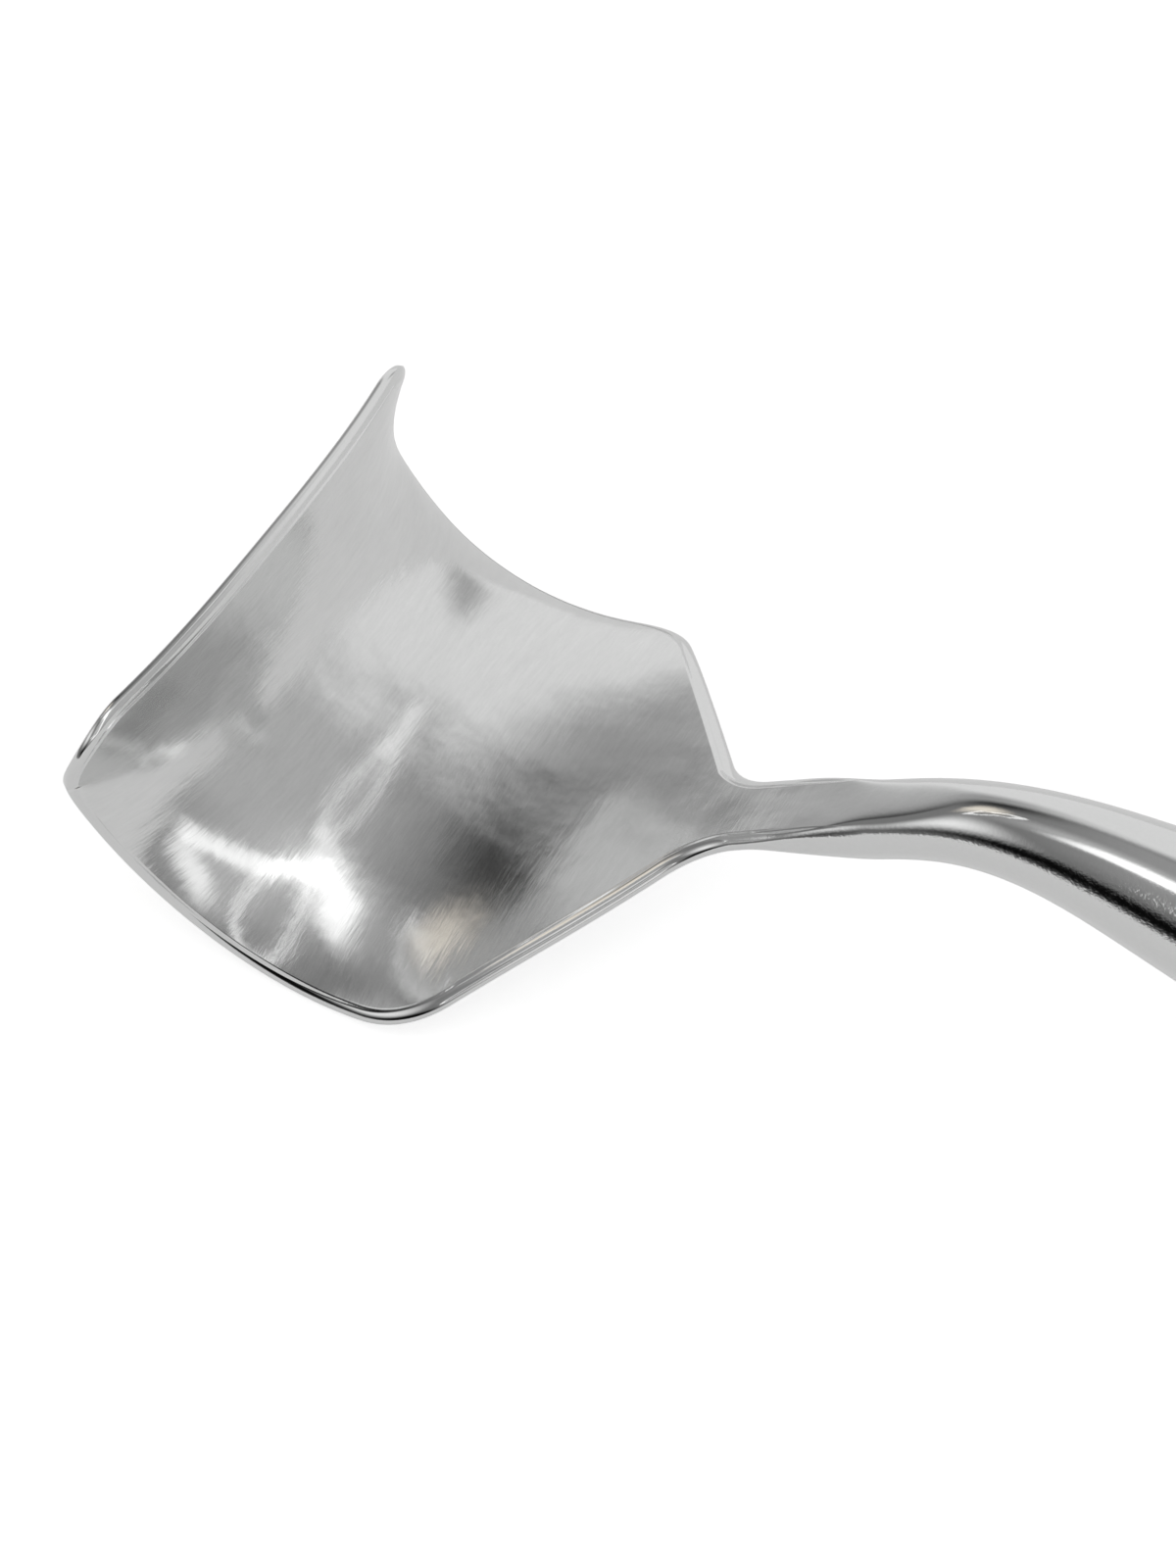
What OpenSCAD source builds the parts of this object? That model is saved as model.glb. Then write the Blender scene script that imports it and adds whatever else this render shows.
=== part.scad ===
// Abdominal retractor: a broad saddle shaped blade, a flat narrow neck and a rounded grip, in one piece.
// The sheet is drawn flat first, by its half width at each distance v from the lip, then bent lengthwise
// into a hook and arched crosswise, so that its two flanks fall away from the middle.
// It lies as it would on a table, hollow side up, on the two flanks of the blade and the end of the grip.

/* [Blade] */
// Width of the blade at its lip
blade_w = 75; // [60:0.5:90]
// Width of the blade at its shoulders
shoulder_w = 70.5; // [56:0.5:85]
// Distance along the sheet from the lip to the shoulders
shoulder_v = 54; // [45:0.5:65]
// Distance along the sheet from the shoulders to the neck
fall_len = 27; // [22:0.5:34]
// Thickness of the sheet
sheet_t = 2; // [1.6:0.1:2.6]
// Radius of the two lip corners
lip_corner_r = 9.5; // [6:0.5:12]
// Radius of the two shoulder corners
shoulder_r = 15; // [11:0.5:18]
// Radius of the hollow corners where the shoulders meet the neck
neck_corner_r = 12; // [9:0.5:14.5]
// Rounding of the sheet's edges
edge_r = 0.5; // [0.3:0.05:0.7]

/* [Hook] */
// Heading of the sheet at the lip, before it is laid down (down is minus 90)
lip_heading = -89; // [-95:1:-80]
// Bend of the belly, in degrees
belly_bend = 75; // [62:1:82]
// Distance from the lip where the belly's bend starts (below 0 the lip is bent too)
belly_v = -9; // [-12:0.5:-5]
// Distance along the sheet over which the belly bends
belly_len = 59; // [49:1:68]
// Bend of the rise towards the neck, in degrees
rise_bend = 52.7; // [44:0.1:60]
// Distance from the lip where the rise starts to bend
rise_v = 22; // [18:0.5:26]
// Distance along the sheet over which the rise bends
rise_len = 64; // [54:1:74]
// Bend back from the neck to the grip, in degrees
crank_bend = 45.1; // [38:0.1:54]
// Distance from the lip where the crank starts to bend
crank_v = 101; // [96:0.5:108]
// Distance along the sheet over which the crank bends
crank_len = 38; // [32:0.5:46]

/* [Saddle] */
// Slope of the flanks at the lip, in degrees
lip_slope = 12.5; // [8:0.5:16]
// Slope of the flanks at the waist, in degrees
waist_slope = 50; // [40:1:60]
// Distance over which the slope builds up from the lip
slope_rise = 16; // [13:0.5:20]
// Distance from the lip where the slope starts to fade
fade_v = 24; // [20:0.5:28]
// Distance over which the slope fades out towards the neck
slope_fade = 56; // [46:1:64]
// How late across the width the flanks start to fall (1 makes a plain arc)
flank_power = 1.8; // [1.4:0.1:2.4]

/* [Neck] */
// Width of the neck where it leaves the blade
neck_w = 10.5; // [8.5:0.5:12.5]
// How much narrower the neck gets before the grip
neck_pinch = 1; // [0:0.1:2]
// Distance from the lip where the neck starts to get narrower
pinch_v = 86; // [82:0.5:90]
// Distance over which the neck gets narrower
pinch_len = 15; // [12:0.5:18]
// Distance from the lip where the underside starts to swell
swell_v = 87.5; // [84:0.5:92]
// Distance over which the flat strip swells into a bar
swell_len = 18; // [15:0.5:22]
// Depth of the swollen neck below the sheet's middle
neck_drop = 5.9; // [4.8:0.1:7]
// Height of the swollen neck's round back above the sheet's middle, before it is ground flat
neck_crest = 2.2; // [1.6:0.1:2.8]
// Distance from the lip where the ground flat runs on straight, so that the bar bends away from it
flat_v = 97; // [94:0.5:100]

/* [Grip] */
// Width of the grip at its thickest
grip_w = 21; // [17:0.5:25]
// Height of the grip at its thickest
grip_h = 18; // [15:0.5:21.5]
// Distance from the lip where the bar starts to grow higher
rise_start = 103; // [98:0.5:110]
// Distance from the lip where the bar starts to grow wider
spread_start = 112; // [106:0.5:118]
// Distance from the lip where the grip has its full size
full_v = 172; // [150:1:190]
// Length along the sheet from the lip to the end of the grip
sheet_len = 262; // [218:1:315]
// Length of the round end of the grip
grip_end = 13; // [11:0.5:15]

/* [Hidden] */
neck_v = shoulder_v + fall_len;
lip_half = blade_w / 2;
shoulder_half = shoulder_w / 2;
neck_half = neck_w / 2;
pinched_half = (neck_w - neck_pinch) / 2;
sheet_half = sheet_t / 2;
side_slope = (shoulder_half - lip_half) / shoulder_v;
fall_slope = (neck_half - shoulder_half) / fall_len;
// Height of the narrow band that is left at the grip's widest line
seam_band = 0.2;
// Resolution: columns of the middle, rows of each stretch, and steps of the sums along and across
middle_columns = 13;
rim_angles = [0:22.5:90];
lip_insets = [0, 0.12, 0.3];
blade_rows = 30;
neck_rows = 20;
grip_rows = 30;
slope_steps = 12;
spine_step = 0.5;
tilt_step = 0.1;
neck_rows_start = swell_v - 1;
neck_rows_end = spread_start + 10;
end_angles = [12:12:84];
tip_gap = 0.02;
lay_tries = 6;
// Shares of the half width that the rounded rims may take up in the mesh, at the neck and on the grip
neck_share = 0.75;
grip_share = 0.5;
share_fade = 20;
// Least values that keep a division safe: the cosine of a steep outline, and the width of a rounding
steep_cos = 0.2;
least_width = 0.001;

// A smooth step from 0 to 1, and one from a to b between two distances
function eased(t) = let (c = max(0, min(1, t))) c * c * (3 - 2 * c);
function grown(v, from, to, a, b) = a + (b - a) * eased((v - from) / (to - from));

// Heading of the sheet's middle line at the distance v, in degrees
function heading(v) =
    lip_heading
    + belly_bend * eased((v - belly_v) / belly_len)
    + rise_bend * eased((v - rise_v) / rise_len)
    - crank_bend * eased((v - crank_v) / crank_len);

// The middle line as [x, z], one point per step
spine_count = ceil(sheet_len / spine_step) + 2;
spine_points = [
    for (i = 0, p = [0, 0]; i <= spine_count;
         p = p + spine_step * [cos(heading((i + 0.5) * spine_step)), sin(heading((i + 0.5) * spine_step))],
         i = i + 1) p
];
function spine(v) =
    let (s = v / spine_step, i = max(0, min(spine_count - 1, floor(s))), f = s - i)
    spine_points[i] * (1 - f) + spine_points[i + 1] * f;

// Slope that the flanks reach at the lip's half width, at the distance v
function flank_slope(v) =
    grown(v, 0, slope_rise, lip_slope, waist_slope)
    - waist_slope * eased((v - fade_v) / slope_fade);

// Slope of the sheet at u, and its place across: [sideways, fall]
function slope_at(u, v) = flank_slope(v) * pow(abs(u) / lip_half, flank_power);
function across(u, v) =
    let (steps = [for (k = [0.5:1:slope_steps]) slope_at(u * k / slope_steps, v)])
    abs(u) / slope_steps * [for (s = steps) 1] * [for (s = steps) [cos(s), -sin(s)]];

// Half width where two straight edges meet at [v0, w0] with a corner of radius r
function filleted(v, v0, w0, m1, m2, r) =
    let (a1 = atan(m1), a2 = atan(m2), side = a2 > a1 ? 1 : -1)
    let (tangent = r * tan(abs(a2 - a1) / 2))
    let (start = [v0 - tangent * cos(a1), w0 - tangent * sin(a1)], end_v = v0 + tangent * cos(a2))
    let (centre = start + side * r * [-sin(a1), cos(a1)])
    v < start[0] ? w0 + m1 * (v - v0)
    : v > end_v ? w0 + m2 * (v - v0)
    : centre[1] - side * sqrt(max(0, r * r - pow(v - centre[0], 2)));

// Half width of the blade and neck, without the lip corners
function plain_half(v) =
    v < shoulder_v + fall_len / 2
    ? filleted(v, shoulder_v, shoulder_half, side_slope, fall_slope, shoulder_r)
    : filleted(v, neck_v, neck_half, fall_slope, 0, neck_corner_r);

// How far the lip corner cuts in at the distance v
function corner_cut(v) =
    v >= lip_corner_r ? 0 : lip_corner_r - sqrt(pow(lip_corner_r, 2) - pow(lip_corner_r - v, 2));

// Fullness of the grip's round end, from 1 down to 0
function end_round(v) =
    let (k = max(0, (v - (sheet_len - grip_end)) / grip_end))
    sqrt(max(0, 1 - min(1, k * k)));

// Half width all along
function half_width(v) =
    let (pinch = grown(v, pinch_v, pinch_v + pinch_len, 0, neck_half - pinched_half))
    let (spread = grown(v, spread_start, full_v, 0, grip_w / 2 - pinched_half))
    (plain_half(v) - corner_cut(v) - pinch + spread) * end_round(v);

// The bar: how far the strip has swollen, its back above and its keel below the middle line
function swelling(v) = eased((v - swell_v) / swell_len);
function swollen(v, neck_height) =
    (grown(v, swell_v, swell_v + swell_len, sheet_half, neck_height)
    + grown(v, rise_start, full_v, 0, grip_h / 2 - neck_height)) * end_round(v);
function back(v) = swollen(v, neck_crest);
function keel(v) = swollen(v, neck_drop);

// Heights of the upper and lower edges, which close in on the widest line as the strip swells
function widest_line(v) = swelling(v) * (back(v) - keel(v)) / 2;
function band(v) = swelling(v) * seam_band / 2 * end_round(v);
function upper_edge(v) =
    (1 - swelling(v)) * (back(v) - edge_r) + swelling(v) * widest_line(v) + band(v);
function lower_edge(v) =
    (1 - swelling(v)) * (edge_r - keel(v)) + swelling(v) * widest_line(v) - band(v);

// Width of the rounding along the outline, from the sheet's edge to the whole half of the bar
function rim_width(v) = max(least_width, edge_r + swelling(v) * (half_width(v) - edge_r));

// Height of the ground flat above the middle line
flat_start = spine(flat_v) + sheet_half * [-sin(heading(flat_v)), cos(heading(flat_v))];
function flat_height(v) =
    let (a = heading(flat_v), away = flat_start - spine(v))
    v < flat_v ? sheet_half : (away[1] * cos(a) - away[0] * sin(a)) / cos(heading(v) - a);

// Fullness of the rounding at the inset d, from 0 at the outline to 1
function fullness(d, v) = sqrt(1 - pow(1 - max(0, min(1, d / rim_width(v))), 2));
function upper_height(d, v) =
    min(max(flat_height(v), upper_edge(v)), upper_edge(v) + (back(v) - upper_edge(v)) * fullness(d, v));
function lower_height(d, v) = lower_edge(v) - (keel(v) + lower_edge(v)) * fullness(d, v);

// Inset at which the rounding meets the ground flat
function flat_inset(v) =
    let (full = back(v) - upper_edge(v), cut = full > 0 ? (flat_height(v) - upper_edge(v)) / full : 1)
    rim_width(v) * (1 - sqrt(1 - pow(max(0, min(1, cut)), 2)));

// Tilt of the outline against the middle line, taken between two near distances
function outline_tilt(v) =
    let (before = max(0, v - tilt_step), after = before + 2 * tilt_step)
    atan((half_width(after) - half_width(before)) / (after - before));

// Inset of the point [u, v] from the outline
function inset(u, v, w, tilt) =
    let (side = (w - abs(u)) * cos(tilt), far = lip_half - lip_corner_r)
    v < lip_corner_r && abs(u) > far
    ? lip_corner_r - norm([abs(u) - far, lip_corner_r - v])
    : min(side, v);

// Distances of the rows
corner_rows = [for (a = [18:12:90]) lip_corner_r * (1 - cos(a))];
body_end = sheet_len - grip_end;
function spaced(from, to, count) = [for (i = [1:count]) from + (to - from) * i / count];
row_v = concat(
    lip_insets,
    corner_rows,
    spaced(lip_corner_r, neck_rows_start, blade_rows),
    spaced(neck_rows_start, neck_rows_end, neck_rows),
    spaced(neck_rows_end, body_end, grip_rows),
    [for (a = end_angles) body_end + grip_end * sin(a)],
    [sheet_len - tip_gap]
);

// Columns of one row, from the left edge to the right edge, with a rim of the given width
function row_columns(w, rim, v) =
    let (share = grown(v, spread_start, spread_start + share_fade, neck_share, grip_share))
    let (width = min(rim, w * share))
    let (left = [for (a = rim_angles) width * (1 - cos(a)) - w])
    let (middle = [for (i = [1:middle_columns]) (w - width) * (2 * i / (middle_columns + 1) - 1)])
    concat(left, middle, [for (i = [1:len(left)]) -left[len(left) - i]]);

// One point of the bent sheet, h above its middle
function bent(u, v, h) =
    let (a = heading(v), s = slope_at(u, v), p = spine(v), c = across(u, v), side = sign(u))
    let (y = side * (c[0] + h * sin(s)), n = c[1] + h * cos(s))
    [p[0] - n * sin(a), y, p[1] + n * cos(a)];

// All the points of one face
function face_points(is_upper) = [
    for (v = row_v)
    let (w = half_width(v), tilt = outline_tilt(v))
    let (rim = (is_upper ? flat_inset(v) : rim_width(v)) / max(steep_cos, cos(tilt)))
    [for (u = row_columns(w, rim, v)) let (d = inset(u, v, w, tilt))
        bent(u, v, is_upper ? upper_height(d, v) : lower_height(d, v))]
];
upper = face_points(true);
lower = face_points(false);
rows = len(row_v);
columns = len(upper[0]);

// The laying down: the flanks of the blade and the grip touch the table together
function tipped(p, a) = [p[0] * cos(a) + p[2] * sin(a), p[1], p[2] * cos(a) - p[0] * sin(a)];
function lowest(points, a) =
    let (t = [for (p = points) tipped(p, a)], z = min([for (p = t) p[2]]))
    [for (p = t) if (p[2] == z) p][0];
blade_under = [for (i = [0:rows - 1]) if (row_v[i] < neck_v) lower[i][2]];
grip_under = [for (i = [0:rows - 1]) if (row_v[i] > neck_v) lower[i][floor(columns / 2)]];
function laid(a, tries) =
    let (b = lowest(blade_under, a), g = lowest(grip_under, a))
    tries == 0 ? a : laid(a + atan2(g[2] - b[2], g[0] - b[0]), tries - 1);
lay_angle = laid(0, lay_tries);
upper_laid = [for (row = upper) [for (p = row) tipped(p, lay_angle)]];
lower_laid = [for (row = lower) [for (p = row) tipped(p, lay_angle)]];
all_points = [for (face = [upper_laid, lower_laid]) for (row = face) for (p = row) p];
xs = [for (p = all_points) p[0]];
centre_x = (min(xs) + max(xs)) / 2;
floor_z = min([for (p = all_points) p[2]]);

module retractor() {
    count = rows * columns;
    faces = concat(
        [for (i = [0:rows - 2]) for (j = [0:columns - 2]) let (k = i * columns + j)
            for (f = [[k, k + columns, k + 1], [k + 1, k + columns, k + columns + 1]]) f],
        [for (i = [0:rows - 2]) for (j = [0:columns - 2]) let (k = count + i * columns + j)
            for (f = [[k, k + 1, k + columns], [k + 1, k + columns + 1, k + columns]]) f],
        [for (i = [0:rows - 2]) let (k = i * columns)
            for (f = [[k, k + count, k + columns], [k + columns, k + count, k + columns + count]]) f],
        [for (i = [0:rows - 2]) let (k = i * columns + columns - 1)
            for (f = [[k, k + columns, k + count], [k + columns, k + columns + count, k + count]]) f],
        [for (j = [0:columns - 2])
            for (f = [[j, j + 1, j + count], [j + 1, j + 1 + count, j + count]]) f],
        [for (j = [0:columns - 2]) let (k = (rows - 1) * columns + j)
            for (f = [[k, k + count, k + 1], [k + 1, k + count, k + 1 + count]]) f]
    );
    color("silver")
    translate([-centre_x, 0, -floor_z])
    polyhedron(points = all_points, faces = faces, convexity = 8);
}

retractor();
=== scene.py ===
import math

import bpy
import numpy as np
from mathutils import Matrix, Vector


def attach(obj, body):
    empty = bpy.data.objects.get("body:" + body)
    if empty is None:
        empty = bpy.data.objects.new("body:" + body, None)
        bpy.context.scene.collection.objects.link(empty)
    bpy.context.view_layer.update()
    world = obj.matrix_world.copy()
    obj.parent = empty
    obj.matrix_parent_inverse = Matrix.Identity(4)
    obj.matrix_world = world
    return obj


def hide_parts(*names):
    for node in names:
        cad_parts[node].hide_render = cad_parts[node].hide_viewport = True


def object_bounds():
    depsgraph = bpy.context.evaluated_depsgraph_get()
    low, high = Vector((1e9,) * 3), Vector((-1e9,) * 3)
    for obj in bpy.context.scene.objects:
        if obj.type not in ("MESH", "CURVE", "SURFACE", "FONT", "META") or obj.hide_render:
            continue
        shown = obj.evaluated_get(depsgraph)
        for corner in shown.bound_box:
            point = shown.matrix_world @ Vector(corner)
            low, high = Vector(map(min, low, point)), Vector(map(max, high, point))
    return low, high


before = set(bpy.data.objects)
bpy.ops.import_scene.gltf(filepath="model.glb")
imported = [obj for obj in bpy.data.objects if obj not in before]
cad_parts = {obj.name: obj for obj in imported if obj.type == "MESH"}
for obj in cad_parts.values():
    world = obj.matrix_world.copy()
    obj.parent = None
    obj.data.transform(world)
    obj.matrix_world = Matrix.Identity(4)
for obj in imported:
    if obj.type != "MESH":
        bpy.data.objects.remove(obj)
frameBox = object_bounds()
scene = bpy.context.scene

# The bent sheet, in millimetres and degrees, but layShift and mergeDistance in metres. The sizes are the
# part's own, apart from the rounding of the rim (edgeRound, rimReach) and the soft end of the flat, which are
# for looks. Columns and rows are those of this mesh, and their spacing changes at bladeEnd and neckEnd.
sheet = {
    "lipWidth": 75.0,
    "shoulderWidth": 70.5,
    "shoulderAt": 54.0,
    "fallLength": 27.0,
    "thickness": 2.0,
    "lipCorner": 9.5,
    "shoulderCorner": 15.0,
    "neckCorner": 12.0,
    "edgeRound": 0.95,
    "rimReach": 1.6,
    "lipHeading": -89.0,
    "bends": ((-9.0, 59.0, 75.0), (22.0, 64.0, 52.7), (101.0, 38.0, -45.1)),
    "lipSlope": 12.5,
    "waistSlope": 50.0,
    "slopeRise": 16.0,
    "slopeFadeAt": 24.0,
    "slopeFade": 56.0,
    "flankPower": 1.8,
    "neckWidth": 10.5,
    "neckPinch": 1.0,
    "pinchFrom": 86.0,
    "pinchLength": 15.0,
    "swellFrom": 87.5,
    "swellLength": 18.0,
    "neckDrop": 5.9,
    "neckCrest": 2.2,
    "flatRunsOn": 97.0,
    "gripWidth": 21.0,
    "gripHeight": 18.0,
    "riseFrom": 103.0,
    "spreadFrom": 112.0,
    "fullFrom": 172.0,
    "length": 262.0,
    "gripEnd": 13.0,
    "seamBand": 0.2,
    "layAngle": 6.47969,
    "layShift": (-0.111854, 0.0, 0.0396517),
    "faceColumns": 50,
    "rimColumns": 12,
    "rimStart": 12.0,
    "rimRows": 9,
    "cornerRows": 44,
    "cornerBunch": 1.6,
    "bladeRows": 180,
    "neckRows": 120,
    "gripRows": 150,
    "capRows": 34,
    "bladeEnd": 86.0,
    "neckEnd": 125.0,
    "flatSoftness": 0.6,
    "flatSoftFrom": 97.0,
    "flatSoftTo": 109.0,
    "reachShare": (0.75, 0.5),
    "reachShareOver": 20.0,
    "steepest": 0.2,
    "mergeDistance": 0.000002,
}


def eased(t):
    t = np.clip(t, 0.0, 1.0)
    return t * t * (3 - 2 * t)


def grown(v, start, end, first, last):
    return first + (last - first) * eased((v - start) / (end - start))


def headingAt(v):
    bends = (angle * eased((v - start) / length) for start, length, angle in sheet["bends"])
    return sheet["lipHeading"] + sum(bends)


def filleted(v, cornerV, cornerW, slopeBefore, slopeAfter, radius):
    before, after = math.atan(slopeBefore), math.atan(slopeAfter)
    side = 1 if after > before else -1
    tangent = radius * math.tan(abs(after - before) / 2)
    startV = cornerV - tangent * math.cos(before)
    startW = cornerW - tangent * math.sin(before)
    endV = cornerV + tangent * math.cos(after)
    centreV = startV - side * radius * math.sin(before)
    centreW = startW + side * radius * math.cos(before)
    arc = centreW - side * np.sqrt(np.maximum(0, radius**2 - (v - centreV) ** 2))
    line = np.where(v < startV, cornerW + slopeBefore * (v - cornerV), cornerW + slopeAfter * (v - cornerV))
    return np.where((v < startV) | (v > endV), line, arc)


def halfWidthAt(v):
    lip, shoulder, neck = sheet["lipWidth"] / 2, sheet["shoulderWidth"] / 2, sheet["neckWidth"] / 2
    sideSlope = (shoulder - lip) / sheet["shoulderAt"]
    fallSlope = (neck - shoulder) / sheet["fallLength"]
    neckAt = sheet["shoulderAt"] + sheet["fallLength"]
    plain = np.where(
        v < sheet["shoulderAt"] + sheet["fallLength"] / 2,
        filleted(v, sheet["shoulderAt"], shoulder, sideSlope, fallSlope, sheet["shoulderCorner"]),
        filleted(v, neckAt, neck, fallSlope, 0.0, sheet["neckCorner"]),
    )
    radius = sheet["lipCorner"]
    cut = np.where(v >= radius, 0.0, radius - np.sqrt(np.maximum(0, radius**2 - (radius - v) ** 2)))
    pinch = grown(v, sheet["pinchFrom"], sheet["pinchFrom"] + sheet["pinchLength"], 0, sheet["neckPinch"] / 2)
    spread = grown(v, sheet["spreadFrom"], sheet["fullFrom"], 0,
                   (sheet["gripWidth"] - sheet["neckWidth"] + sheet["neckPinch"]) / 2)
    return (plain - cut - pinch + spread) * endRoundAt(v)


def endRoundAt(v):
    k = np.maximum(0, (v - (sheet["length"] - sheet["gripEnd"])) / sheet["gripEnd"])
    return np.sqrt(np.maximum(0, 1 - np.minimum(1, k * k)))


def rowDistances():
    radius, reach, length, end = sheet["lipCorner"], sheet["rimReach"], sheet["length"], sheet["gripEnd"]
    rim = reach * (1 - np.cos(np.radians(np.linspace(sheet["rimStart"], 90, sheet["rimRows"]))))
    bunched = np.linspace(0, 1, sheet["cornerRows"])[1:] ** sheet["cornerBunch"]
    corner = bunched * (radius - reach) + reach
    blade = np.linspace(radius, sheet["bladeEnd"], sheet["bladeRows"])[1:]
    neck = np.linspace(sheet["bladeEnd"], sheet["neckEnd"], sheet["neckRows"])[1:]
    grip = np.linspace(sheet["neckEnd"], length - end, sheet["gripRows"])[1:]
    cap = length - end + end * np.sin(np.radians(np.linspace(0, 90, sheet["capRows"])[1:]))
    return np.concatenate([[0, 0, 0], rim, corner, blade, neck, grip, cap])


# The guide: one point for each row of the sheet, on its middle line, with the row's sizes as attributes
def makeGuide():
    step = 0.05
    fine = np.arange(0, sheet["length"] + 2 * step, step)
    turn = np.radians(headingAt(fine[:-1] + step / 2))
    middleX = np.concatenate([[0], np.cumsum(np.cos(turn) * step)])
    middleZ = np.concatenate([[0], np.cumsum(np.sin(turn) * step)])
    v = rowDistances()
    half = halfWidthAt(v)
    ends = endRoundAt(v)
    flat, edge, tall = sheet["thickness"] / 2, sheet["edgeRound"], sheet["gripHeight"] / 2
    reach = sheet["rimReach"]
    swelling = eased((v - sheet["swellFrom"]) / sheet["swellLength"])
    growth = eased((v - sheet["riseFrom"]) / (sheet["fullFrom"] - sheet["riseFrom"]))
    back, keel = ((flat + (neck - flat) * swelling + (tall - neck) * growth) * ends
                  for neck in (sheet["neckCrest"], sheet["neckDrop"]))
    widest = swelling * (back - keel) / 2
    band = swelling * sheet["seamBand"] / 2 * ends
    upperEdge = (1 - swelling) * (back - edge) + swelling * widest + band
    lowerEdge = (1 - swelling) * (edge - keel) + swelling * widest - band
    thinnest, tiny = 0.001, 1e-6
    rimWidth = np.maximum(thinnest, reach + swelling * (half - reach))

    # the ground flat runs on straight from one place, while the bar bends away from it
    start = sheet["flatRunsOn"]
    angle = math.radians(float(headingAt(start)))
    startX = np.interp(start, fine, middleX) - flat * math.sin(angle)
    startZ = np.interp(start, fine, middleZ) + flat * math.cos(angle)
    placeX, placeZ = np.interp(v, fine, middleX), np.interp(v, fine, middleZ)
    away = (startZ - placeZ) * math.cos(angle) - (startX - placeX) * math.sin(angle)
    flatHeight = np.where(v < start, flat, away / np.cos(np.radians(headingAt(v)) - angle))
    cut = np.clip((flatHeight - upperEdge) / np.maximum(tiny, back - upperEdge), 0, 1)
    gap = 0.1
    before = np.maximum(0, v - gap / 2)
    tiltCos = np.cos(np.arctan((halfWidthAt(before + gap) - halfWidthAt(before)) / gap))
    share = grown(v, sheet["spreadFrom"], sheet["spreadFrom"] + sheet["reachShareOver"], *sheet["reachShare"])
    steep = np.maximum(sheet["steepest"], tiltCos)
    reachTop = np.minimum(rimWidth * (1 - np.sqrt(1 - cut**2)) / steep, half * share)
    reachLow = np.minimum(rimWidth / steep, half * share)
    upperEdge[:2] = (0, (flat - edge) / 2)
    lowerEdge[:2] = (0, (edge - flat) / 2)
    slope = (
        grown(v, 0, sheet["slopeRise"], sheet["lipSlope"], sheet["waistSlope"])
        - sheet["waistSlope"] * eased((v - sheet["slopeFadeAt"]) / sheet["slopeFade"])
    )
    mesh = bpy.data.meshes.new("guide")
    points = np.column_stack([placeX, np.zeros_like(v), placeZ])
    mesh.from_pydata(points.tolist(), [(i, i + 1) for i in range(len(v) - 1)], [])
    values = {
        "distance": v,
        "halfWidth": half,
        "back": back,
        "keel": keel,
        "upperEdge": upperEdge,
        "lowerEdge": lowerEdge,
        "rimWidth": rimWidth,
        "flatHeight": flatHeight,
        "reachTop": reachTop,
        "reachLow": reachLow,
        "tiltCos": tiltCos,
        "slope": np.radians(slope),
        "heading": np.radians(headingAt(v)),
    }
    for name, numbers in values.items():
        mesh.attributes.new(name, "FLOAT", "POINT").data.foreach_set("value", numbers.astype(np.float32))
    guide = bpy.data.objects.new("guide", mesh)
    scene.collection.objects.link(guide)
    return guide


# One socket with arithmetic on it: an expression on it adds its Math nodes
class Wire:
    def __init__(self, maker, socket):
        self.maker = maker
        self.socket = socket

    def math(self, operation, *others):
        return self.maker.add("ShaderNodeMath", {"operation": operation}, [self, *others])

    def __add__(self, other):
        return self.math("ADD", other)

    def __radd__(self, other):
        return self.math("ADD", other)

    def __sub__(self, other):
        return self.math("SUBTRACT", other)

    def __rsub__(self, other):
        return self.maker.add("ShaderNodeMath", {"operation": "SUBTRACT"}, [other, self])

    def __mul__(self, other):
        return self.math("MULTIPLY", other)

    def __rmul__(self, other):
        return self.math("MULTIPLY", other)

    def __truediv__(self, other):
        return self.math("DIVIDE", other)

    def __rtruediv__(self, other):
        return self.maker.add("ShaderNodeMath", {"operation": "DIVIDE"}, [other, self])

    def __pow__(self, other):
        return self.math("POWER", other)

    def __neg__(self):
        return self.math("MULTIPLY", -1.0)

    def __abs__(self):
        return self.math("ABSOLUTE")

    def __gt__(self, other):
        return self.math("GREATER_THAN", other)

    def __lt__(self, other):
        return self.math("LESS_THAN", other)

    def sin(self):
        return self.math("SINE")

    def cos(self):
        return self.math("COSINE")

    def root(self):
        return self.math("MAXIMUM", 0.0).math("SQRT")

    def least(self, other):
        return self.math("MINIMUM", other)

    def most(self, other):
        return self.math("MAXIMUM", other)

    def held(self):
        return self.most(0.0).least(1.0)

    def smooth(self, low, high):
        t = ((self - low) / (high - low)).held()
        return t * t * (3.0 - 2.0 * t)


class Tree:
    def __init__(self, tree):
        self.tree = tree

    # settings are set first, then inputs by order or by name; the wire of one output comes back
    def add(self, kind, settings=None, inputs=None, output=0):
        node = self.node(kind, settings, inputs)
        return Wire(self, node.outputs[output])

    def node(self, kind, settings=None, inputs=None):
        node = self.tree.nodes.new(kind)
        for name, value in (settings or {}).items():
            setattr(node, name, value)
        pairs = inputs.items() if isinstance(inputs, dict) else enumerate(inputs or [])
        for key, value in pairs:
            self.feed(node.inputs[key], value)
        return node

    def feed(self, socket, value):
        if isinstance(value, Wire):
            self.tree.links.new(value.socket, socket)
        elif value is not None:
            socket.default_value = value


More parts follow.
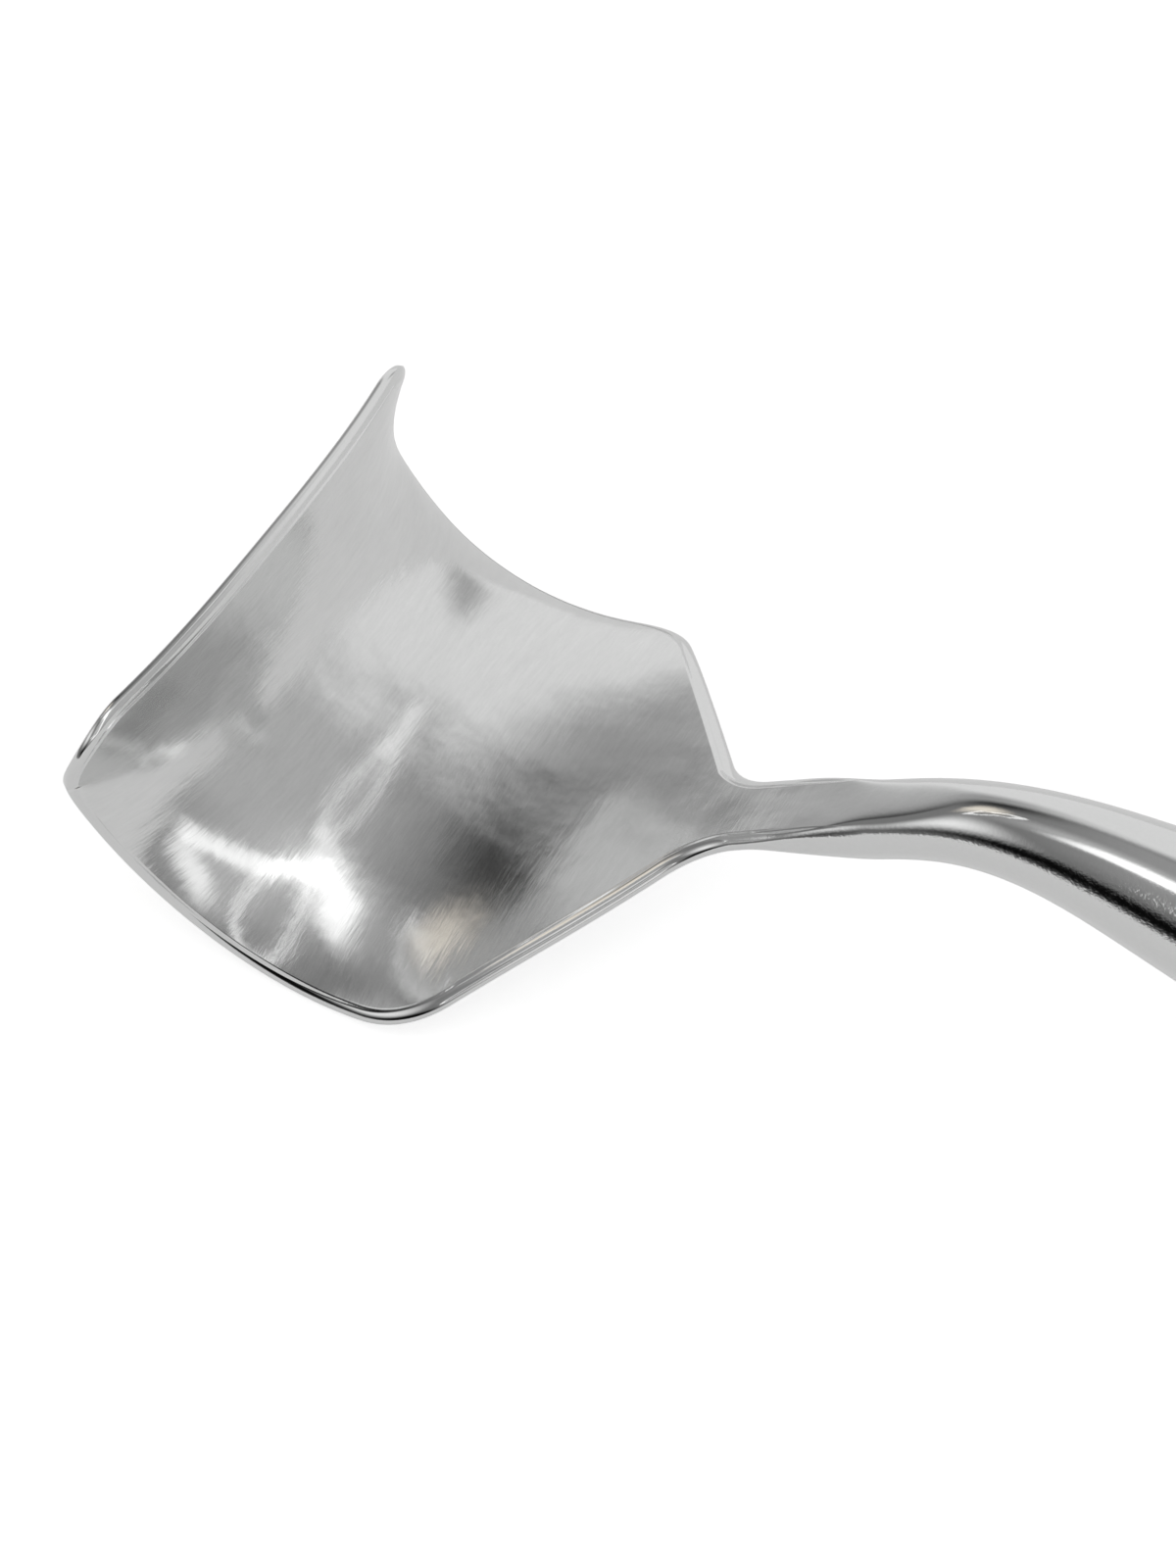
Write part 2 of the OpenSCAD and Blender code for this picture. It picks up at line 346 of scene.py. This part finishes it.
# The sheet as a ring of points round each row, bent and arched by the row's own numbers
def makeSheetTree(rowCount):
    group = bpy.data.node_groups.new("bentSheet", "GeometryNodeTree")
    face = group.interface
    face.new_socket("Guide", in_out="INPUT", socket_type="NodeSocketGeometry")
    names = {
        "Face Columns": ("NodeSocketInt", sheet["faceColumns"]),
        "Rim Columns": ("NodeSocketInt", sheet["rimColumns"]),
        "Lip Half Width": ("NodeSocketFloat", sheet["lipWidth"] / 2),
        "Lip Corner": ("NodeSocketFloat", sheet["lipCorner"]),
        "Flank Power": ("NodeSocketFloat", sheet["flankPower"]),
        "Lay Angle": ("NodeSocketFloat", math.radians(sheet["layAngle"])),
        "Material": ("NodeSocketMaterial", None),
    }
    for name, (kind, value) in names.items():
        socket = face.new_socket(name, in_out="INPUT", socket_type=kind)
        if value is not None:
            socket.default_value = value
    face.new_socket("Sheet", in_out="OUTPUT", socket_type="NodeSocketGeometry")
    t = Tree(group)
    entry = t.node("NodeGroupInput")
    given = {o.name: Wire(t, o) for o in entry.outputs if o.name}
    side = given["Face Columns"] + 2 * given["Rim Columns"]
    around = 2 * side + 1
    grid = t.node("GeometryNodeMeshGrid", None, {
        "Size X": 1.0, "Size Y": 1.0, "Vertices X": rowCount, "Vertices Y": around})
    index = t.add("GeometryNodeInputIndex")
    row = (index / around).math("FLOOR")
    column = index - row * around

    def rowValue(name):
        named = t.add("GeometryNodeInputNamedAttribute", {"data_type": "FLOAT"}, {"Name": name})
        return t.add("GeometryNodeSampleIndex", {"data_type": "FLOAT", "domain": "POINT"}, {
            "Geometry": given["Guide"], "Value": named, "Index": row})

    place = t.add("GeometryNodeInputPosition")
    spot = t.add("GeometryNodeSampleIndex", {"data_type": "FLOAT_VECTOR", "domain": "POINT"}, {
        "Geometry": given["Guide"], "Value": place, "Index": row})
    spotParts = t.node("ShaderNodeSeparateXYZ", None, [spot])
    spotX, spotZ = Wire(t, spotParts.outputs[0]), Wire(t, spotParts.outputs[2])
    v, half, tiltCos = rowValue("distance"), rowValue("halfWidth"), rowValue("tiltCos")
    slope, heading = rowValue("slope"), rowValue("heading")

    # below: 0 on the upper face, 1 on the lower; across runs from -1 to 1 and back again
    below = (column > side - 0.5) * (column < 2 * side - 0.5)
    onFace = column - side * below
    wrapped = onFace * (column < 2 * side - 0.5)
    ways = 1.0 - 2.0 * below
    across = ways * (2.0 * wrapped / (side - 1.0) - 1.0)
    rimShare = given["Rim Columns"] / (side / 2.0 - 0.5)
    reach = rowValue("reachTop") * (1.0 - below) + rowValue("reachLow") * below
    flatEnd = 1.0 - rimShare
    turn = ((abs(across) - flatEnd) / rimShare).held() * (math.pi / 2)
    u = (half - reach) * (abs(across) / flatEnd).least(1.0) + reach * turn.sin()
    sideSign = across.math("SIGN")

    # how far in from the outline, which rounds the faces off
    inSide = (half - u) * tiltCos
    farIn = given["Lip Half Width"] - given["Lip Corner"]
    cornerU, cornerV = u - farIn, given["Lip Corner"] - v
    inCorner = given["Lip Corner"] - (cornerU * cornerU + cornerV * cornerV).root()
    isCorner = (cornerU > 0.0) * (cornerV > 0.0)
    inset = (inCorner * isCorner + inSide.least(v) * (1.0 - isCorner)).most(0.0)
    outward = 1.0 - (inset / rowValue("rimWidth")).held()
    fullness = (1.0 - outward * outward).root()
    edge = rowValue("upperEdge") * (1.0 - below) + rowValue("lowerEdge") * below
    full = rowValue("back") * (1.0 - below) - rowValue("keel") * below
    whole, ground = edge + (full - edge) * fullness, rowValue("flatHeight")
    softness = sheet["flatSoftness"] * v.smooth(sheet["flatSoftFrom"], sheet["flatSoftTo"])
    h = (whole + ground - ((whole - ground) ** 2.0 + softness * softness).root()) / 2.0

    # the slope of the flanks and the point that it leads to, as short series
    power = given["Flank Power"]
    s = slope * (u / given["Lip Half Width"]) ** power
    s2 = s * s
    sideways = u * (1.0 - s2 / (2.0 * (2.0 * power + 1.0)) + s2 * s2 / (24.0 * (4.0 * power + 1.0)))
    first, third, fifth = power + 1.0, 6.0 * (3.0 * power + 1.0), 120.0 * (5.0 * power + 1.0)
    fall = -u * s * (1.0 / first - s2 / third + s2 * s2 / fifth)
    y = sideSign * (sideways + h * s.sin())
    n = fall + h * s.cos()
    x = spotX - n * heading.sin()
    z = spotZ + n * heading.cos()
    lay = given["Lay Angle"]
    laidX = x * lay.cos() + z * lay.sin()
    laidZ = z * lay.cos() - x * lay.sin()
    mm = 0.001
    target = t.add("ShaderNodeCombineXYZ", None, [laidX * mm, y * mm, laidZ * mm])
    moved = t.add("GeometryNodeSetPosition", None, {"Geometry": Wire(t, grid.outputs[0]), "Position": target})
    for name, value in (("sheetU", sideSign * u), ("sheetV", v), ("sheetFace", below), ("sheetInset", inset)):
        moved = t.add("GeometryNodeStoreNamedAttribute", {"data_type": "FLOAT", "domain": "POINT"}, {
            "Geometry": moved, "Name": name, "Value": value})
    merged = t.add("GeometryNodeMergeByDistance", None, {
        "Geometry": moved, "Distance": sheet["mergeDistance"]})
    real = t.add("GeometryNodeRealizeInstances", None, {"Geometry": merged})
    done = t.add("GeometryNodeSetMaterial", None, {"Geometry": real, "Material": given["Material"]})
    out = t.node("NodeGroupOutput")
    group.links.new(done.socket, out.inputs[0])
    return group


def makeRetractor(material):
    guide = makeGuide()
    tree = makeSheetTree(len(guide.data.vertices))
    modifier = guide.modifiers.new("bentSheet", "NODES")
    modifier.node_group = tree
    for item in tree.interface.items_tree:
        if item.item_type == "SOCKET" and item.in_out == "INPUT" and item.name == "Material":
            modifier[item.identifier] = material
    evaluated = guide.evaluated_get(bpy.context.evaluated_depsgraph_get())
    mesh = bpy.data.meshes.new_from_object(evaluated)
    guide.modifiers.clear()
    bpy.data.objects.remove(guide)
    # the laid sheet goes to the foot of the frame's box and stays inside it, with a clearance of a thousandth
    # of a millimetre
    points = np.empty(len(mesh.vertices) * 3, dtype=np.float32)
    mesh.vertices.foreach_get("co", points)
    points = points.reshape(-1, 3)
    low, high = points.min(axis=0), points.max(axis=0)
    frameLow, frameHigh = np.array(frameBox[0]), np.array(frameBox[1])
    clearance = 1e-6
    scale = np.minimum(1, (frameHigh - frameLow - 2 * clearance) / (high - low))
    foot = np.array([(low[0] + high[0]) / 2, 0, low[2]])
    frameFoot = np.array([(frameLow[0] + frameHigh[0]) / 2, 0, frameLow[2] + clearance])
    mesh.vertices.foreach_set("co", ((points - foot) * scale + frameFoot).ravel())
    mesh.update()
    piece = bpy.data.objects.new("steelRetractor", mesh)
    scene.collection.objects.link(piece)
    mesh.polygons.foreach_set("use_smooth", [True] * len(mesh.polygons))
    print("retractor mesh:", len(mesh.vertices), "points,", len(mesh.polygons), "faces")
    print("moved by", frameFoot - foot)
    return piece


# Steel: satin faces inside and under the blade, with bent polishing lines, longer strokes and clouds, and
# brighter rims, neck and grip, with a speckled near side on the grip. Places are millimetres on the sheet.
# A scale is a count in a millimetre across and along the sheet. The first number of a wave and the count of
# the speckles are counts in a metre. Depths are metres. Middle is the noise's own middle value, smoothMiddle
# is the cloud that leaves the roughness as it is, and elsewhere is the speckles' share off the near side.
steel = {
    "colour": (0.725, 0.728, 0.725),
    "satin": 0.14,
    "bright": 0.06,
    "smoothest": 0.03,
    "barFrom": 88.0,
    "barFull": 104.0,
    "rimFrom": 1.1,
    "rimTo": 1.8,
    "faceGap": 7.0,
    "middle": 0.5,
    "cloud": {"scale": (0.045, 0.06), "detail": 5.0, "rough": 0.6, "roughness": 0.12, "smoothMiddle": 0.45,
              "grain": 0.16},
    "hair": {"scale": (0.35, 2.6), "bend": (3.0, 5.0), "detail": 4.0, "rough": 0.7,
             "roughness": 0.10, "grain": 0.14, "depth": 0.000012},
    "stroke": {"scale": (0.12, 0.8), "detail": 3.0, "rough": 0.6, "grain": 0.12, "depth": 0.000022},
    "speckle": {"count": 2200.0, "detail": 3.0, "rough": 0.6, "roughness": 0.04, "grain": 0.06,
                "depth": 0.00003, "from": 3.0, "to": 5.5, "elsewhere": 0.1},
    "waves": ((32.0, 0.0005), (95.0, 0.0002), (380.0, 0.000025)),
    "waveDetail": 1.0,
    "waveRough": 0.5,
    "waveOnBright": 0.25,
}


def makeSteel():
    material = bpy.data.materials.new("satinSteel")
    material.use_nodes = True
    material.node_tree.nodes.clear()
    t = Tree(material.node_tree)
    spot = Wire(t, t.node("ShaderNodeTexCoord").outputs["Object"])
    cloudy, hairy, stroked, speckled = (steel[name] for name in ("cloud", "hair", "stroke", "speckle"))

    def attribute(name):
        return t.add("ShaderNodeAttribute", {"attribute_name": name}, None, "Fac")

    def noise(vector, scale, detail, rough):
        return t.add("ShaderNodeTexNoise", None, {
            "Vector": vector, "Scale": scale, "Detail": detail, "Roughness": rough})

    u, v, face, inset = (attribute(name) for name in ("sheetU", "sheetV", "sheetFace", "sheetInset"))

    # noise on the sheet itself, different on its two faces
    def sheetNoise(spec, bendU=0.0, bendV=0.0):
        across, along = u * spec["scale"][0] + bendU, v * spec["scale"][1] + bendV
        vector = t.add("ShaderNodeCombineXYZ", None, [across, along, face * steel["faceGap"]])
        return noise(vector, 1.0, spec["detail"], spec["rough"])

    barMask = v.smooth(steel["barFrom"], steel["barFull"])
    rimMask = 1.0 - inset.smooth(steel["rimFrom"], steel["rimTo"])
    bright = barMask.most(rimMask)
    satin = 1.0 - bright
    cloud = sheetNoise(cloudy)
    hair = sheetNoise(hairy, cloud * hairy["bend"][0], cloud * hairy["bend"][1])
    stroke = sheetNoise(stroked)
    fine = noise(spot, speckled["count"], speckled["detail"], speckled["rough"])
    middle = steel["middle"]
    roughness = (
        steel["satin"] * satin
        + steel["bright"] * bright
        + (cloud - cloudy["smoothMiddle"]) * (cloudy["roughness"] * satin)
        + (hair - middle) * (hairy["roughness"] * satin)
        + (fine - middle) * speckled["roughness"]
    ).most(steel["smoothest"])
    nearSide = barMask * (-u).smooth(speckled["from"], speckled["to"]) * (1.0 - face)
    speckles = speckled["elsewhere"] + (1.0 - speckled["elsewhere"]) * nearSide
    height = hair * hairy["depth"] * satin + stroke * stroked["depth"] * satin
    height = height + fine * speckled["depth"] * speckles * bright
    waveShare = steel["waveOnBright"] + (1.0 - steel["waveOnBright"]) * satin
    for count, depth in steel["waves"]:
        wave = noise(spot, count, steel["waveDetail"], steel["waveRough"])
        height = height + wave * (depth * waveShare)
    bump = t.add("ShaderNodeBump", None, {"Strength": 1.0, "Distance": 1.0, "Height": height})
    marks = (
        (hair - middle) * hairy["grain"]
        + (stroke - middle) * stroked["grain"]
        + (cloud - middle) * cloudy["grain"]
    )
    grain = 1.0 + marks * satin + (fine - middle) * speckled["grain"]
    colour = t.add("ShaderNodeVectorMath", {"operation": "SCALE"}, {
        "Vector": steel["colour"], "Scale": grain})
    shader = t.node("ShaderNodeBsdfPrincipled", None, {
        "Base Color": colour, "Metallic": 1.0, "Roughness": roughness, "Normal": bump})
    t.node("ShaderNodeOutputMaterial", None, [Wire(t, shader.outputs[0])])
    return material


# The floor: pale, with the object's shadow, and white to the camera
floorSize = {"near": -0.45, "far": 2.5, "side": 2.5, "albedo": 0.82, "glow": 0.22, "cameraGlow": 0.6}


def makeFloor():
    mesh = bpy.data.meshes.new("floor")
    near, far, side = floorSize["near"], floorSize["far"], floorSize["side"]
    mesh.from_pydata([(-side, near, 0), (side, near, 0), (side, far, 0), (-side, far, 0)], [], [(0, 1, 2, 3)])
    floor = bpy.data.objects.new("floor", mesh)
    scene.collection.objects.link(floor)
    material = bpy.data.materials.new("paleFloor")
    material.use_nodes = True
    material.node_tree.nodes.clear()
    t = Tree(material.node_tree)
    grey = floorSize["albedo"]
    plain = t.add("ShaderNodeBsdfDiffuse", None, {"Color": (grey, grey, grey, 1.0)})
    seen = Wire(t, t.node("ShaderNodeLightPath").outputs["Is Camera Ray"])
    strength = floorSize["glow"] + seen * (floorSize["cameraGlow"] - floorSize["glow"])
    glow = t.add("ShaderNodeEmission", None, {"Color": (1.0, 1.0, 1.0, 1.0), "Strength": strength})
    both = t.add("ShaderNodeAddShader", None, [plain, glow])
    t.node("ShaderNodeOutputMaterial", None, [both])
    mesh.materials.append(material)
    return floor


# The room, by direction: a pale wall on the far side, a ceiling that is darker on the left, a dark near side.
# Lamps and dark things are ovals at an azimuth and a height, with half sizes level and upright, in degrees,
# turned about their middle. Core is the even part of an oval, softEdge is where it ends, and a ring is only
# the line round its oval. The edges of the wall, the ceiling, the near side and the tube are parts of a
# direction of length 1. Behind keeps an oval off the opposite side of the room.
room = {
    "wall": 0.87,
    "wallEdge": (0.40, 0.56),
    "ceilingEdge": (-0.6, 0.6),
    "frontEdge": (0.1, 0.7),
    "frontTop": (0.5, 0.9),
    "horizon": (-0.06, 0.0),
    "darkest": 0.004,
    "softEdge": 1.25,
    "ringCore": 0.4,
    "behind": 9.0,
    "ceilingLeft": 0.23,
    "ceilingRight": 0.52,
    "front": 0.20,
    "below": 0.72,
    "lamps": (
        {"at": (-75, 79), "half": (26, 8), "core": 0.5, "value": 0.90},
        {"at": (-95, 80), "half": (50, 14), "core": 0.0, "value": 0.35},
        {"at": (-47, 15), "half": (19, 7), "turn": 148, "core": 0.4, "value": 0.70},
        {"at": (-50, 25), "half": (32, 28), "core": 0.0, "value": 0.35},
        {"at": (-148, 28), "half": (25, 18), "core": 0.0, "value": 0.85},
    ),
    "darks": (
        {"at": (-108, 15), "half": (38, 15), "core": 0.4, "value": -0.20},
        {"at": (143, 19), "half": (60, 10), "turn": 116, "core": 0.1, "value": -0.44},
        {"at": (143, 43), "half": (24, 14), "turn": 113, "core": 0.1, "value": -0.20},
        {"at": (53, 52), "half": (24, 8), "turn": 40, "core": 0.3, "value": -0.15},
        {"at": (74, 11), "half": (17, 9), "turn": 118, "core": 0.2, "value": -0.40},
    ),
    "tinted": (
        {"at": (168, 44), "half": (9, 12), "core": 0.2, "value": 0.75, "tint": (1.0, 0.90, 0.76)},
    ),
    "rings": (
        {"at": (-64, 51), "half": (23, 14), "turn": 31, "ring": 0.13, "value": 1.05},
        {"at": (29, 59), "half": (14, 7), "turn": -27, "ring": 0.22, "value": 0.70},
        {"at": (179, 50), "half": (10, 3.5), "turn": 110, "ring": 0.28, "value": 0.80},
    ),
    "tube": {"normalAt": (58, 0), "beside": (0.04, 0.10), "side": (0.0, 0.1), "low": (0.0, 0.2),
             "high": (0.95, 0.99), "value": 0.85},
}


def toward(azimuth, height):
    azimuth, height = math.radians(azimuth), math.radians(height)
    level = math.cos(height)
    return Vector((level * math.cos(azimuth), level * math.sin(azimuth), math.sin(height)))


def makeRoom():
    world = bpy.data.worlds.new("room")
    scene.world = world
    world.use_nodes = True
    world.node_tree.nodes.clear()
    t = Tree(world.node_tree)
    way = Wire(t, t.node("ShaderNodeTexCoord").outputs["Generated"])
    parts = t.node("ShaderNodeSeparateXYZ", None, [way])
    x, y, z = (Wire(t, parts.outputs[i]) for i in range(3))

    def along(unit):
        return t.add("ShaderNodeVectorMath", {"operation": "DOT_PRODUCT"}, [way, tuple(unit)], 1)

    def scaled(tint, amount):
        return t.add("ShaderNodeVectorMath", {"operation": "SCALE"}, {"Vector": tint, "Scale": amount})

    # distance from the oval's middle, where 1 is its line
    def ovalAt(spec):
        middle = toward(*spec["at"])
        level = Vector((0, 0, 1)).cross(middle).normalized()
        first = Matrix.Rotation(math.radians(spec.get("turn", 0)), 3, middle) @ level
        second = middle.cross(first)
        halfLevel, halfUpright = (math.sin(math.radians(size)) for size in spec["half"])
        p, q = along(first) / halfLevel, along(second) / halfUpright
        opposite = along(middle) < 0.0
        return (p * p + q * q).root() + opposite * room["behind"]

    def shape(spec):
        far = ovalAt(spec)
        if "ring" in spec:
            return 1.0 - abs(far - 1.0).smooth(spec["ring"] * room["ringCore"], spec["ring"])
        return 1.0 - far.smooth(spec["core"], room["softEdge"])

    left, right = room["ceilingLeft"], room["ceilingRight"]
    ceiling = left + (right - left) * x.smooth(*room["ceilingEdge"])
    front = (-y).smooth(*room["frontEdge"]) * (1.0 - z.smooth(*room["frontTop"]))
    light = ceiling + (room["front"] - ceiling) * front
    light = light + (room["wall"] - light) * y.smooth(*room["wallEdge"])
    light = light + (room["below"] - light) * (1.0 - z.smooth(*room["horizon"]))
    for thing in (*room["lamps"], *room["darks"]):
        light = light + thing["value"] * shape(thing)
    light = light.most(room["darkest"])
    for ring in room["rings"]:
        light = light + ring["value"] * shape(ring)
    tube = room["tube"]
    beside = abs(along(toward(*tube["normalAt"])))
    strip = (1.0 - beside.smooth(*tube["beside"])) * x.smooth(*tube["side"])
    strip = strip * z.smooth(*tube["low"]) * (1.0 - z.smooth(*tube["high"]))
    light = light + tube["value"] * strip
    colour = scaled((1.0, 1.0, 1.0), light)
    for lamp in room["tinted"]:
        tinted = scaled(lamp["tint"], lamp["value"] * shape(lamp))
        colour = t.add("ShaderNodeVectorMath", {"operation": "ADD"}, [colour, tinted])
    shown = t.node("ShaderNodeBackground", None, [colour, 1.0])
    white = t.node("ShaderNodeBackground", None, [(1.0, 1.0, 1.0, 1.0), 1.0])
    path = t.node("ShaderNodeLightPath")
    mix = t.add("ShaderNodeMixShader", None, [
        Wire(t, path.outputs["Is Camera Ray"]), Wire(t, shown.outputs[0]), Wire(t, white.outputs[0])])
    t.node("ShaderNodeOutputWorld", None, [mix])


# The camera, fitted to the photograph's outline. Its place in millimetres, and in degrees the direction from
# the object toward it and its roll, hold before the sheet is laid down. Focal length and centre are pixels of
# the photograph, the sensor's width is in millimetres and the clip distances are in metres.
camera = {
    "azimuth": -60.574,
    "height": 54.774,
    "roll": -0.406,
    "place": (131.864, -158.105, 229.805),
    "focalPixels": 2627.09,
    "centrePixel": (593.98, 828.47),
    "framePixels": (1200, 1600),
    "sensorWidth": 36.0,
    "clip": (0.01, 20.0),
}


def makeCamera(shift):
    lay = Matrix.Rotation(math.radians(sheet["layAngle"]), 3, "Y")
    back = toward(camera["azimuth"], camera["height"])
    level = Vector((0, 0, 1)).cross(back).normalized()
    right = Matrix.Rotation(math.radians(camera["roll"]), 3, back) @ level
    axes = [lay @ axis for axis in (right, back.cross(right), back)]
    place = lay @ Vector(camera["place"]) * 0.001 + Vector(shift)
    data = bpy.data.cameras.new("camera")
    wide, tall = camera["framePixels"]
    data.sensor_fit = "AUTO"
    data.sensor_width = camera["sensorWidth"]
    data.lens = camera["focalPixels"] / tall * data.sensor_width
    data.shift_x = (wide / 2 - camera["centrePixel"][0]) / tall
    data.shift_y = (camera["centrePixel"][1] - tall / 2) / tall
    data.clip_start, data.clip_end = camera["clip"]
    item = bpy.data.objects.new("camera", data)
    turned = Matrix(axes).transposed().to_4x4()
    item.matrix_world = Matrix.Translation(place) @ turned
    scene.collection.objects.link(item)
    scene.camera = item
    print("camera at", tuple(round(c, 4) for c in place))


steelMaterial = makeSteel()
retractor = makeRetractor(steelMaterial)
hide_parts("retractor")
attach(retractor, "root")
# the shift that brought the laid sheet into the frame also brings the camera there
makeCamera(sheet["layShift"])
makeFloor()
makeRoom()
scene.view_settings.view_transform = "Standard"
print("scene ready")
